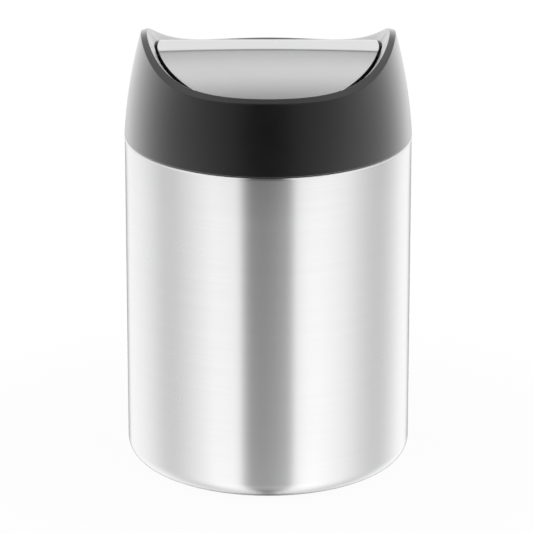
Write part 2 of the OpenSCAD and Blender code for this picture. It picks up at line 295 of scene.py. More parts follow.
class Finish:
    """A surface finish that makes its own material."""

    label: str

    def shade(self, recipe: Recipe) -> dict[str, object]:
        """Returns the values and channels of the surface shader's sockets."""
        raise NotImplementedError

    def over(self, recipe: Recipe, surface: Channel) -> Channel:
        """Returns the surface with what lies over it, which is nothing for most finishes."""
        return surface

    def material(self) -> bpy.types.Material:
        """Makes the material on the first call, and later hands out the same one.

        Returns:
            The material.
        """
        known = bpy.data.materials.get(self.label)
        if known is not None:
            return known
        made = bpy.data.materials.new(self.label)
        made.use_nodes = True
        recipe = Recipe(made.node_tree)
        surface = recipe.node("ShaderNodeBsdfPrincipled", sockets=self.shade(recipe))
        surface = self.over(recipe, surface)
        recipe.node("ShaderNodeOutputMaterial", sockets={"Surface": surface})
        return made


@dataclass(frozen=True)
class BrushedSteel(Finish):
    """Stainless sheet with fine brushed lines, long soft streaks and a few handling marks."""

    label: str
    grain: Grain
    colour: Colour = (0.88, 0.88, 0.885)
    roughness: float = 0.26
    anisotropic: float = 0.9
    streak_mm: float = 0.42
    streak_length_mm: float = 45.0
    fine_share: float = 0.65
    broad_scale: float = 0.16
    line_fade: Fade = (0.25, 0.75)
    colour_change: float = 0.018
    roughness_change: float = 0.03
    relief_mm: float = 0.002
    mark_cells: Cells = (38.0, 38.0, 26.0)
    mark_roughness: float = 0.05
    seam_width_mm: float = 0.0
    seam_behind: Fade = (0.0, 0.01)
    seam_share: float = 0.5
    seam_tone: float = 0.55
    seam_roughness: float = 0.15

    def shade(self, recipe: Recipe) -> dict[str, object]:
        """Returns steel whose streaks run the way of its grain.

        Args:
            recipe: tree that is being filled.

        Returns:
            What goes into the surface shader's sockets, by name.
        """
        place = recipe.place()
        x, y, z = recipe.axes(place)
        short, long = 1.0 / (self.streak_mm * MM), 1.0 / (self.streak_length_mm * MM)
        scale = (long, long, short) if self.grain is Grain.ROUND else (long, short, short)
        fine = recipe.noise(place, scale, detail=3.0, rough=0.65)
        broad = recipe.noise(place, [s * self.broad_scale for s in scale], detail=2.0)
        marks = recipe.noise(place, self.mark_cells, detail=3.0)
        lines = fine * self.fine_share + broad * (1.0 - self.fine_share)
        rough = self.roughness + (lines - 0.5) * (2.0 * self.roughness_change)
        rough = rough + (marks - 0.5) * self.mark_roughness
        colour = recipe.tinted(self.colour, lines.step(*self.line_fade), self.colour_change)
        if self.seam_width_mm > 0.0:
            half = self.seam_width_mm * MM / 2.0
            seam = abs(x).step(half, 0.0) * y.step(*self.seam_behind)
            dark = tuple(c * self.seam_tone for c in self.colour)
            colour = recipe.blend(seam * self.seam_share, colour, dark)
            rough = rough + seam * self.seam_roughness
        return {
            "Base Color": colour,
            "Metallic": 1.0,
            "Roughness": rough.clipped(),
            "Anisotropic": self.anisotropic,
            "Anisotropic Rotation": 0.25,
            "Normal": recipe.bump(lines, self.relief_mm),
        }


@dataclass(frozen=True)
class MouldedPlastic(Finish):
    """Satin moulded plastic with a fine spark-eroded grain and a slightly uneven sheen."""

    label: str
    colour: Colour
    roughness: float = 0.42
    grain_mm: float = 0.35
    grain_roughness: float = 0.10
    relief_mm: float = 0.006
    gloss: float = 0.5
    flow_cells: Cells = (28.0, 28.0, 55.0)
    flow_share: float = 0.6
    tone_fade: Fade = (0.3, 0.7)
    mottle_cells: Cells = (210.0, 210.0, 260.0)
    colour_change: float = 0.14
    roughness_change: float = 0.07
    dust: float = 0.06
    dust_cells: Cells = (900.0, 900.0, 900.0)
    dust_fade: Fade = (0.66, 0.78)
    dust_colour: Colour = (0.45, 0.44, 0.42)
    edge_gloss: float = 0.0
    edge_power: float = 1.9
    edge_roughness: float = 0.38

    def shade(self, recipe: Recipe) -> dict[str, object]:
        """Returns plastic with pitted grain, soft flow marks and a trace of dust.

        Args:
            recipe: tree that is being filled.

        Returns:
            What goes into the surface shader's sockets, by name.
        """
        place = recipe.place()
        cell = 1.0 / (self.grain_mm * MM)
        pits = recipe.noise(place, (cell, cell, cell), detail=2.0, rough=0.6)
        flow = recipe.noise(place, self.flow_cells, detail=3.0)
        mottle = recipe.noise(place, self.mottle_cells, detail=2.0)
        tone = flow * self.flow_share + mottle * (1.0 - self.flow_share)
        tone = tone.step(*self.tone_fade)
        colour = recipe.tinted(self.colour, tone, self.colour_change)
        fleck = recipe.noise(place, self.dust_cells, detail=1.0)
        dust = fleck.step(*self.dust_fade) * self.dust
        colour = recipe.blend(dust, colour, self.dust_colour)
        rough = self.roughness + (tone - 0.5) * self.roughness_change
        rough = rough + (pits - 0.5) * self.grain_roughness
        return {
            "Base Color": colour,
            "Roughness": rough.clipped(),
            "Specular IOR Level": self.gloss,
            "Normal": recipe.bump(pits, self.relief_mm),
        }

    def over(self, recipe: Recipe, surface: Channel) -> Channel:
        """Returns the plastic with the strong gloss that a satin mould gives at shallow angles.

        Args:
            recipe: tree that is being filled.
            surface: the plastic itself.

        Returns:
            The surface with its gloss.
        """
        if self.edge_gloss <= 0.0:
            return surface
        facing = recipe.node("ShaderNodeLayerWeight", sockets={"Blend": 0.5}, output="Facing")
        gloss = recipe.node(
            "ShaderNodeBsdfAnisotropic",
            sockets={"Color": (1.0, 1.0, 1.0), "Roughness": self.edge_roughness},
        )
        share = facing**self.edge_power * self.edge_gloss
        return recipe.node("ShaderNodeMixShader", sockets={0: share, 1: surface, 2: gloss})


@dataclass(frozen=True)
class SoftRubber(Finish):
    """Matt rubber with a talc-like bloom."""

    label: str
    colour: Colour = (0.016, 0.016, 0.017)
    roughness: float = 0.62
    roughness_change: float = 0.2
    gloss: float = 0.35
    grain_cells: Cells = (2600.0, 2600.0, 2600.0)
    relief_mm: float = 0.012
    bloom: float = 0.25
    bloom_fade: Fade = (0.45, 0.8)
    bloom_cells: Cells = (160.0, 160.0, 400.0)
    bloom_colour: Colour = (0.11, 0.11, 0.11)

    def shade(self, recipe: Recipe) -> dict[str, object]:
        """Returns rubber with a fine grain and pale bloom in patches.

        Args:
            recipe: tree that is being filled.

        Returns:
            What goes into the surface shader's sockets, by name.
        """
        place = recipe.place()
        grain = recipe.noise(place, self.grain_cells, detail=2.0)
        bloom = recipe.noise(place, self.bloom_cells, detail=3.0)
        share = bloom.step(*self.bloom_fade) * self.bloom
        colour = recipe.blend(share, self.colour, self.bloom_colour)
        return {
            "Base Color": colour,
            "Roughness": self.roughness + (grain - 0.5) * self.roughness_change,
            "Specular IOR Level": self.gloss,
            "Normal": recipe.bump(grain, self.relief_mm),
        }


@dataclass(frozen=True)
class PlatedSteel(Finish):
    """Zinc-plated or ground steel, for the screws, the pins, the weight and the base plate."""

    label: str
    colour: Colour = (0.62, 0.63, 0.65)
    roughness: float = 0.30
    spangle_mm: float = 2.5
    spangle: float = 0.10
    scratch_cells: Cells = (60.0, 3800.0, 3800.0)
    roughness_change: float = 0.12
    relief_mm: float = 0.003

    def shade(self, recipe: Recipe) -> dict[str, object]:
        """Returns plated steel with faint crystals and fine scratches.

        Args:
            recipe: tree that is being filled.

        Returns:
            What goes into the surface shader's sockets, by name.
        """
        place = recipe.place()
        cell = 1.0 / (self.spangle_mm * MM)
        crystals = recipe.node(
            "ShaderNodeTexVoronoi",
            sockets={"Vector": recipe.stretched(place, (cell, cell, cell)), "Scale": 1.0},
            output="Color",
        )
        tone, _, _ = recipe.axes(crystals)
        scratch = recipe.noise(place, self.scratch_cells, detail=2.0)
        rough = self.roughness + (tone - 0.5) * self.roughness_change
        rough = rough + (scratch - 0.5) * self.roughness_change
        return {
            "Base Color": recipe.tinted(self.colour, tone, self.spangle),
            "Metallic": 1.0,
            "Roughness": rough.clipped(),
            "Normal": recipe.bump(scratch, self.relief_mm),
        }


CAN_STEEL = BrushedSteel("can_brushed_steel", Grain.ROUND, seam_width_mm=0.5)
LID_STEEL = BrushedSteel(
    "lid_brushed_steel", Grain.ACROSS, roughness=0.20, anisotropic=0.5, streak_length_mm=30.0
)
COLLAR_PLASTIC = MouldedPlastic(
    "collar_satin_black", (0.0055, 0.0055, 0.0058), roughness=0.36, gloss=0.32, dust=0.0,
    edge_gloss=0.88,
)
INNER_PLASTIC = MouldedPlastic("inner_black", (0.02, 0.02, 0.021), roughness=0.5, grain_mm=0.5)
PAIL_PLASTIC = MouldedPlastic(
    "pail_grey", (0.105, 0.11, 0.118), roughness=0.45, grain_mm=0.6, dust=0.03
)
BUSH_PLASTIC = MouldedPlastic(
    "bush_charcoal", (0.035, 0.035, 0.037), roughness=0.35, grain_mm=0.25, dust=0.0
)
FOOT_RUBBER = SoftRubber("foot_rubber")
BASE_STEEL = PlatedSteel("base_plated", roughness=0.34)
HARDWARE = PlatedSteel("hardware_plated", (0.66, 0.67, 0.69), roughness=0.22, spangle=0.03)
PIN_STEEL = PlatedSteel("pin_blackened", (0.09, 0.09, 0.095), roughness=0.30, spangle=0.03)

FINISH_OF_NODE: dict[str, Finish] = {
    "base_plate": BASE_STEEL,
    "foot_ring": FOOT_RUBBER,
    "inner_pail": PAIL_PLASTIC,
    "collar_sleeve": INNER_PLASTIC,
    "grip_ring": FOOT_RUBBER,
    "sleeve_screws": HARDWARE,
    "pivot_bush_left": BUSH_PLASTIC,
    "pivot_bush_right": BUSH_PLASTIC,
    "lid_frame": INNER_PLASTIC,
    "pivot_pin_left": PIN_STEEL,
    "pivot_pin_right": PIN_STEEL,
    "balance_weight": BASE_STEEL,
    "weight_screws": HARDWARE,
}


# --- meshes -----------------

Profile = Sequence[tuple[float, float]]


def arc(
    centre: tuple[float, float], radius: float, start: float, end: float, steps: int
) -> list[tuple[float, float]]:
    """Points along an arc in a half section.

    Args:
        centre: its centre.
        radius: its radius.
        start: angle of the first point, in degrees.
        end: angle of the last point, in degrees.
        steps: number of pieces that the arc is cut into.

    Returns:
        steps + 1 points.
    """
    angles = np.radians(np.linspace(start, end, steps + 1))
    return [
        (centre[0] + radius * math.cos(a), centre[1] + radius * math.sin(a)) for a in angles
    ]


def filleted(corners: Sequence[tuple[float, float, float]], steps: int = 5) -> Profile:
    """Rounds the corners of a closed outline.

    Args:
        corners: (radius, height, rounding) of each corner; a rounding of 0 keeps the point.
        steps: pieces that each rounding is cut into.

    Returns:
        The outline's points, as many for every outline with the same roundings.
    """
    points = np.array([corner[:2] for corner in corners], float)
    out: list[tuple[float, float]] = []
    for i, (r, z, rounding) in enumerate(corners):
        here = points[i]
        if rounding <= 0.0:
            out.append((r, z))
            continue
        back, ahead = points[i - 1] - here, points[(i + 1) % len(points)] - here
        long_back, long_ahead = np.linalg.norm(back), np.linalg.norm(ahead)
        reach = min(rounding, LONGEST_ROUNDING * long_back, LONGEST_ROUNDING * long_ahead)
        start, end = here + back / long_back * reach, here + ahead / long_ahead * reach
        for t in np.linspace(0.0, 1.0, steps + 1):
            point = (1 - t) ** 2 * start + 2 * t * (1 - t) * here + t * t * end
            out.append((float(point[0]), float(point[1])))
    return out


def swept(
    name: str, section: Callable[[float], Profile], turns: int, closed: bool = True
) -> bpy.types.Object:
    """Builds a solid from half sections that are swept round the can's axis.

    Args:
        name: name of the piece.
        section: gives the section's outline in millimetres, as (radius, height), for a
            direction in degrees. Every outline has the same number of points.
        turns: number of directions.
        closed: whether the outline's last point joins its first one.

    Returns:
        The piece, with smooth shading that keeps its real edges.
    """
    rings = []
    for i in range(turns):
        angle = 360.0 * i / turns
        outline = np.array(section(angle), float) * MM
        a = math.radians(angle)
        rings.append(
            np.column_stack(
                (outline[:, 0] * math.cos(a), outline[:, 0] * math.sin(a), outline[:, 1])
            )
        )
    count = len(rings[0])
    last = count if closed else count - 1
    faces = [
        (i * count + j, k * count + j, k * count + (j + 1) % count, i * count + (j + 1) % count)
        for i in range(turns)
        for k in [(i + 1) % turns]
        for j in range(last)
    ]
    return piece_of(name, np.concatenate(rings), faces)


def circle(radius: float, turns: int) -> np.ndarray:
    """Returns a level circle round the origin, as rows of x, y and z."""
    angles = np.arange(turns) * (2 * math.pi / turns)
    return radius * np.column_stack((np.cos(angles), np.sin(angles), np.zeros(turns)))


def lofted(name: str, loops: Sequence[np.ndarray]) -> bpy.types.Object:
    """Joins loops of equally many points into a skin that is capped at both ends.

    Args:
        name: name of the piece.
        loops: rows of x, y and z in millimetres, one array for each loop.

    Returns:
        The piece.
    """
    count = len(loops[0])
    faces = [
        (i * count + j, i * count + k, (i + 1) * count + k, (i + 1) * count + j)
        for i in range(len(loops) - 1)
        for j in range(count)
        for k in [(j + 1) % count]
    ]
    last = (len(loops) - 1) * count
    faces += [tuple(range(count)), tuple(range(last, last + count))]
    return piece_of(name, np.concatenate(loops) * MM, faces)


def piece_of(
    name: str, points: np.ndarray, faces: Sequence[Sequence[int]], sharp_deg: float = 32.0
) -> bpy.types.Object:
    """Makes a mesh object from points in metres and faces.

    Args:
        name: name of the piece.
        points: one row for each point.
        faces: the point numbers of each face.
        sharp_deg: edges that turn by more than this stay crisp.

    Returns:
        The object, in the scene, with doubles merged and normals outwards.
    """
    mesh = bpy.data.meshes.new(name)
    mesh.from_pydata([tuple(p) for p in points], [], [tuple(f) for f in faces])
    work = bmesh.new()
    work.from_mesh(mesh)
    bmesh.ops.remove_doubles(work, verts=work.verts, dist=MERGE_DISTANCE)
    bmesh.ops.recalc_face_normals(work, faces=work.faces)
    work.to_mesh(mesh)
    work.free()
    mesh.shade_smooth()
    mesh.set_sharp_from_angle(angle=math.radians(sharp_deg))
    made = bpy.data.objects.new(name, mesh)
    bpy.context.scene.collection.objects.link(made)
    return made


def settle(
    piece: bpy.types.Object, finish: Finish, body: str, node: str
) -> bpy.types.Object:
    """Dresses a piece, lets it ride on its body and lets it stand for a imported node.

    Args:
        piece: the new piece.
        finish: its finish.
        body: body that it moves with.
        node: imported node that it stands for.

    Returns:
        The same piece.
    """
    piece.data.materials.append(finish.material())
    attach(piece, body)
    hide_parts(node)
    LOG.info("%s: %d faces, rides on %s", piece.name, len(piece.data.polygons), body)
    return piece


# --- can --------------------


@dataclass
class Can:
    """The brushed can: a rolled sheet with a rounded lower corner and a curled upper edge."""

    radius: float = 57.5
    foot: float = 1.0
    height: float = 135.5
    sheet: float = 0.5
    corner: float = 7.0
    curl: float = 1.3
    flange: float = 6.5
    turns: int = 256

    @property
    def top(self) -> float:
        """Height of the curled edge above the surface."""
        return self.foot + self.height

    def outline(self, _angle: float) -> Profile:
        """Returns the sheet's closed outline, from the flange up and over the curl and back.

        Args:
            _angle: direction, which makes no difference on a round can.

        Returns:
            (radius, height) of each point in millimetres.
        """
        inner = self.radius - self.corner - self.flange
        corner = (self.radius - self.corner, self.foot + self.corner)
        curl = (self.radius - self.curl, self.top - self.curl)
        walls = np.linspace(corner[1], curl[1], 8)[1:-1]
        outside = [(self.radius, z) for z in walls]
        inside = [(self.radius - self.sheet, z) for z in walls[::-1]]
        return [
            (inner, self.foot + self.sheet / 2),
            (inner + self.sheet / 4, self.foot),
            *arc(corner, self.corner, -90, 0, 14),
            *outside,
            *arc(curl, self.curl, 0, 270, 20),
            *arc(curl, self.curl - self.sheet, 270, 0, 16),
            *inside,
            *arc(corner, self.corner - self.sheet, 0, -90, 12),
            (inner + self.sheet / 4, self.foot + self.sheet),
        ]

    def build(self) -> None:
        """Builds the can's shell."""
        shell = swept("steel_can", self.outline, self.turns)
        settle(shell, CAN_STEEL, "can", "steel_shell")


# --- lid --------------------


@dataclass
class Lid:
    """The swing lid: a round steel sheet with a flat ridge, two soft folds and a hem."""

    base: float
    radius: float = 44.2
    gap: float = 1.1
    crest: float = 37.2
    sink: float = 0.4
    fold: float = 7.2
    slope_deg: float = 20.0
    crown: float = 2000.0
    sheet: float = 0.6
    hem: float = 2.6
    hem_round: float = 0.15
    hem_rows: tuple[float, float] = (1.2, 1.8)
    bend: float = 0.6
    edge_round: float = 0.35
    fold_start: float = 5.5
    fold_end: float = 8.5
    fold_bow: float = 1.2
    slope_near_deg: float = 15.5
    slope_far_deg: float = 24.2
    turns: int = 384
    rings: int = 84

    def __post_init__(self) -> None:
        """Works out the sheet's fall away from the ridge, step by step."""
        reach = np.linspace(0.0, self.radius + 2.0, 1200)
        turn = np.clip((reach - self.fold_start) / (self.fold_end - self.fold_start), 0, 1)
        turn = turn * turn * (3 - 2 * turn)
        far = np.clip((reach - self.fold_end) / (self.radius - self.fold_end), 0, 1)
        near = math.tan(math.radians(self.slope_near_deg))
        slope = turn * near + far * (math.tan(math.radians(self.slope_far_deg)) - near)
        drops = np.concatenate(([0.0], np.cumsum((slope[1:] + slope[:-1]) / 2)))
        self._reach = reach
        self._drops = drops * (reach[1] - reach[0])

    @property
    def opening(self) -> float:
        """Radius of the opening that the lid hangs in."""
        return self.radius + self.gap

    def opening_height(self, angle: float) -> float:
        """Returns the height above the can of the opening's edge in one direction.

        Args:
            angle: direction in degrees, from +X towards +Y.

        Returns:
            The height in millimetres.
        """
        x = self.opening * math.cos(math.radians(angle))
        y = self.opening * math.sin(math.radians(angle))
        fall = math.tan(math.radians(self.slope_deg)) * max(abs(y) - self.fold, 0.0)
        return self.crest + self.sink - x * x / (2 * self.crown) - fall

    def height(self, x: float, y: float) -> float:
        """Returns the height above the can of the sheet with soft, bowed folds, at x and y.

        Args:
            x: distance along the swing line.
            y: distance across it.

        Returns:
            The height in millimetres.
        """
        bow = self.fold_bow * (x / self.radius) ** 2
        fall = float(np.interp(max(abs(y) - bow, 0.0), self._reach, self._drops))
        return self.crest - x * x / (2 * self.crown) - fall

    def outline(self, angle: float) -> Profile:
        """Returns the sheet's open outline in one direction, from the middle out and back.

        Args:
            angle: direction in degrees, from +X towards +Y.

        Returns:
            (radius, height) of each point in millimetres.
        """
        a = math.radians(angle)
        run_out = self.radius - self.edge_round
        inner = self.radius - self.sheet
        edge = self.height(self.radius * math.cos(a), self.radius * math.sin(a))

        def over(r: float, drop: float = 0.0) -> tuple[float, float]:
            """Returns the point at radius r, this far below the sheet's upper face."""
            return r, self.height(r * math.cos(a), r * math.sin(a)) - drop

        top = [over(r) for r in np.linspace(0.0, run_out, self.rings)]
        lean = top[-1][1] - edge
        rounded = [
            (run_out + self.edge_round * math.sin(t), edge + lean * (1 - t / (math.pi / 2))
             - self.edge_round * (1 - math.cos(t)))
            for t in np.radians((15, 30, 45, 60, 75, 90))
        ]
        hem = [(self.radius, edge - d) for d in (*self.hem_rows, self.hem - self.hem_round)]
        low = edge - self.hem
        foot = [(self.radius - self.hem_round, low), (inner + self.hem_round, low),
                (inner, low + self.hem_round), (inner, edge - self.sheet - self.bend)]
        under = [over(r, self.sheet) for r in np.linspace(inner - self.bend, 0.0, 40)]
        return [(r, self.base + z) for r, z in [*top, *rounded, *hem, *foot, *under]]

    def build(self) -> None:
        """Builds the lid's sheet."""
        sheet = swept("swing_lid_sheet", self.outline, self.turns, closed=False)
        # far-off texture space: the shader's grain direction is then straight, along X
        sheet.data.use_auto_texspace = False
        sheet.data.texspace_location = (0.0, -10.0, 0.0)
        sheet.data.texspace_size = (0.05, 0.05, 0.05)
        settle(sheet, LID_STEEL, "lid", "lid_skin")


# --- collar -----------------


@dataclass
class Collar:
    """The black collar with its two horns, funnel, throat, pivots and stops."""

    can: Can
    lid: Lid
    over: float = 0.5
    barrel: float = 205.0
    barrel_low: float = 12.0
    horn: float = 42.5
    horn_lead: float = 1.5
    front: float = 29.333
    back: float = 24.633
    sweep_front: float = 50.0
    sweep_back: float = 57.0
    wall: float = 2.2
    rim: float = 2.4
    rim_round: float = 0.6
    lip_round: float = 0.25
    opening_round: float = 0.4
    soft_round: float = 0.5
    small_round: float = 0.2
    rim_tilt: float = 0.3
    rim_lean: float = 0.5
    lean_power: int = 6
    edge_fillet: float = 0.5
    horn_fillet: float = 0.9
    horn_power: int = 6
    front_fillet: float = 1.5
    front_power: int = 24
    funnel: float = 1.8
    throat: float = 1.6
    gap: float = 0.1
    flange: float = 1.5
    pivot: float = 31.6
    boss_radius: float = 5.0
    bore_radius: float = 3.0
    bush_length: float = 4.8
    stop_half: float = 3.7
    stop_reach: float = 6.5
    stop_drop: float = 6.5
    stop_height: float = 16.0
    stop_wall: float = 1.6
    pillars: int = 4
    pillar_start_deg: float = 45.0
    pillar_place: float = 49.0
    pillar: float = 3.0
    pillar_height: float = 12.0
    pillar_hole: float = 1.2
    screw_depth: float = 8.6
    turns: int = 384

    @property
    def radius(self) -> float:
        """Largest radius of the collar's barrel curve."""
        return self.can.radius + self.over

    def outside(self, z: float) -> float:
        """Returns the outer radius at the height z above the can."""
        drop = self.barrel - math.sqrt(self.barrel**2 - (z + self.barrel_low) ** 2)
        return self.radius - drop

    def sweep(self, y: float) -> float:
        """Returns the height of the rim at the distance y behind the pivot line.

        Args:
            y: the distance, negative in front of the line.

        Returns:
            The height above the can in millimetres.
        """
        y += self.horn_lead
        low, reach = (self.front, self.sweep_front) if y < 0 else (self.back, self.sweep_back)
        share = (1 + math.cos(math.pi * min(abs(y) / reach, 1.0))) / 2
        return low + (self.horn - low) * share

    def rim_height(self, angle: float) -> float:
        """Returns the height of the rim's outer edge in one direction, before it leans.

        Args:
            angle: direction in degrees, from +X towards +Y.

        Returns:
            The height above the can in millimetres.
        """
        s = math.sin(math.radians(angle))
        first = self.sweep(self.outside(self.horn) * s)
        return self.sweep(self.outside(first) * s)

    def front_share(self, a: float) -> float:
        """Returns 1 in the middle of the front and 0 away from it, for a direction in radians."""
        return max(-math.sin(a), 0.0) ** self.front_power

    def outline(self, angle: float) -> Profile:
        """Returns the collar's closed outline in one direction, from its bottom edge up.

        Args:
            angle: direction in degrees, from +X towards +Y.

        Returns:
            (radius, height) of each point in millimetres.
        """
        a = math.radians(angle)
        opening = self.lid.opening
        lean = self.rim_tilt
        if angle > 180.0:
            lean += self.rim_lean * (1 - math.cos(a) ** self.lean_power)
        rim = self.rim_height(angle) - lean
        edge = self.lid.opening_height(angle)
        out = self.outside(rim)
        inn = out - self.rim
        rim_in = self.sweep(inn * math.sin(a)) + lean
        dr, dz = inn - opening, max(rim_in - self.rim_round - edge, 0.2)
        length = math.hypot(dr, dz)
        run = dr / dz
        under = (opening + self.funnel * dz / length, edge - self.funnel * dr / length)
        corner = under[1] + (opening + self.throat - under[0]) / run
        low = rim - self.wall
        slant = (low + self.barrel_low) / math.sqrt(
            self.barrel**2 - (low + self.barrel_low) ** 2
        )
        wall = self.outside(low) - self.wall
        apex = (wall + slant * low - under[0] + under[1] * run) / (run + slant)
        shelf = self.gap + self.flange
        front = self.front_fillet * self.front_share(a)
        horns = self.horn_fillet * abs(math.cos(a)) ** self.horn_power
        fillet = self.edge_fillet + horns + front
        outer = np.linspace(self.gap + 0.9, rim - self.rim_round - front, 28)
        inner = np.linspace(apex, self.gap + 0.4, 12)
        points = filleted(
            [
                (self.outside(0.0), self.gap, self.soft_round),
                *[(self.outside(z), z, 0.0) for z in outer],
                (out, rim, fillet),
                (inn, rim_in, self.lip_round),
                *[(opening + dr * t, edge + (rim_in - edge) * t, 0.0) for t in (0.8, 0.5, 0.2)],
                (opening, edge, self.opening_round),
                *[(opening, z, 0.0) for z in np.linspace(edge - 1.5, shelf + 0.4, 6)],
                (opening, shelf, self.small_round),
                (opening + self.throat, shelf, self.small_round),
                (opening + self.throat, corner, self.soft_round),
                *[(self.outside(z) - self.wall, z, 0.0) for z in inner],
                (self.outside(0.0) - self.wall, self.gap, self.small_round),
            ]
        )
        return [(r, self.can.top + z) for r, z in points]

    def stop(self, side: Side) -> bpy.types.Object:
        """Builds the hollow stop under one horn, which the open lid comes to rest on.

        Args:
            side: the horn.

        Returns:
            The piece.
        """
        inner_x = self.lid.radius - self.stop_reach
        outer_x = self.lid.opening + self.throat / 2
        top = self.can.top + self.pivot - self.stop_drop
        bottom = top - self.stop_height
        middle, half = (inner_x + outer_x) / 2, (outer_x - inner_x) / 2
        rings = [
            (0.7, top, 0.9), (0.2, top - 0.2, 0.9), (0.0, top - 0.7, 0.9),
            (0.0, bottom + 0.3, 0.9), (0.2, bottom, 0.9),
            (self.stop_wall - 0.2, bottom, 0.5), (self.stop_wall, bottom + 0.3, 0.5),
            (self.stop_wall, top - self.stop_wall, 0.5),
        ]
        loops = [
            self._loop(side.value * middle, half - inset, self.stop_half - inset, z, rounding)
            for inset, z, rounding in rings
        ]
        return lofted(f"lid_stop_{side.name.lower()}", loops)

    @staticmethod
    def _loop(
        centre_x: float, half_x: float, half_y: float, z: float, rounding: float
    ) -> np.ndarray:
        """Returns a level rectangle with rounded corners, as rows of x, y and z.

        Args:
            centre_x: its middle along the swing line.
            half_x: half its width along that line.
            half_y: half its width across it.
            z: its height.
            rounding: rounding of its corners.

        Returns:
            One row for each point, in millimetres.
        """
        corners = [
            (centre_x + sx * half_x, sy * half_y, rounding)
            for sx, sy in ((-1, -1), (1, -1), (1, 1), (-1, 1))
        ]
        return np.array([(x, y, z) for x, y in filleted(corners, 4)])

    def boss(self, side: Side) -> bpy.types.Object:
        """Builds the ring in one horn that the pivot bush sits in.

        Args:
            side: the horn.

        Returns:
            The piece.
        """
        start, end = self.lid.opening + self.throat / 2, self.lid.opening + self.bush_length
        outer, bore = self.boss_radius, self.bore_radius
        places = [
            (outer - 0.4, end + 0.5), (outer, end + 0.1), (outer, start),
            (bore + 0.2, start), (bore, start + 0.2), (bore, end),
        ]
        centre = np.array((0.0, 0.0, self.can.top + self.pivot))
        loops = [
            circle(radius, 48)[:, (2, 0, 1)] + centre + (side.value * x, 0.0, 0.0)
            for radius, x in places
        ]
        return lofted(f"bush_boss_{side.name.lower()}", loops)

    def screw_pillar(self, number: int) -> bpy.types.Object:
        """Builds one of the pillars that the sleeve's screws run into.

        Args:
            number: which of the pillars, from 0.

        Returns:
            The piece.
        """
        a = math.radians(self.pillar_start_deg + 360.0 / self.pillars * number)
        foot = self.gap + self.flange
        top = foot + self.pillar_height
        places = [
            (self.pillar - 0.6, top), (self.pillar, top - 0.6), (self.pillar, foot),
            (self.pillar_hole + 0.3, foot), (self.pillar_hole, foot + 0.3),
            (self.pillar_hole, self.screw_depth),
        ]
        centre = self.pillar_place * np.array((math.cos(a), math.sin(a), 0.0))
        loops = [circle(r, 32) + centre + (0.0, 0.0, self.can.top + z) for r, z in places]
        return lofted(f"screw_pillar_{number + 1}", loops)

    def build(self) -> None:
        """Builds the collar's ring and what is moulded onto it."""
        pieces = [swept("black_collar", self.outline, self.turns)]
        pieces += [self.stop(side) for side in Side]
        pieces += [self.boss(side) for side in Side]
        pieces += [self.screw_pillar(number) for number in range(self.pillars)]
        for piece in pieces:
            settle(piece, COLLAR_PLASTIC, "collar", "collar")


# --- studio -----------------


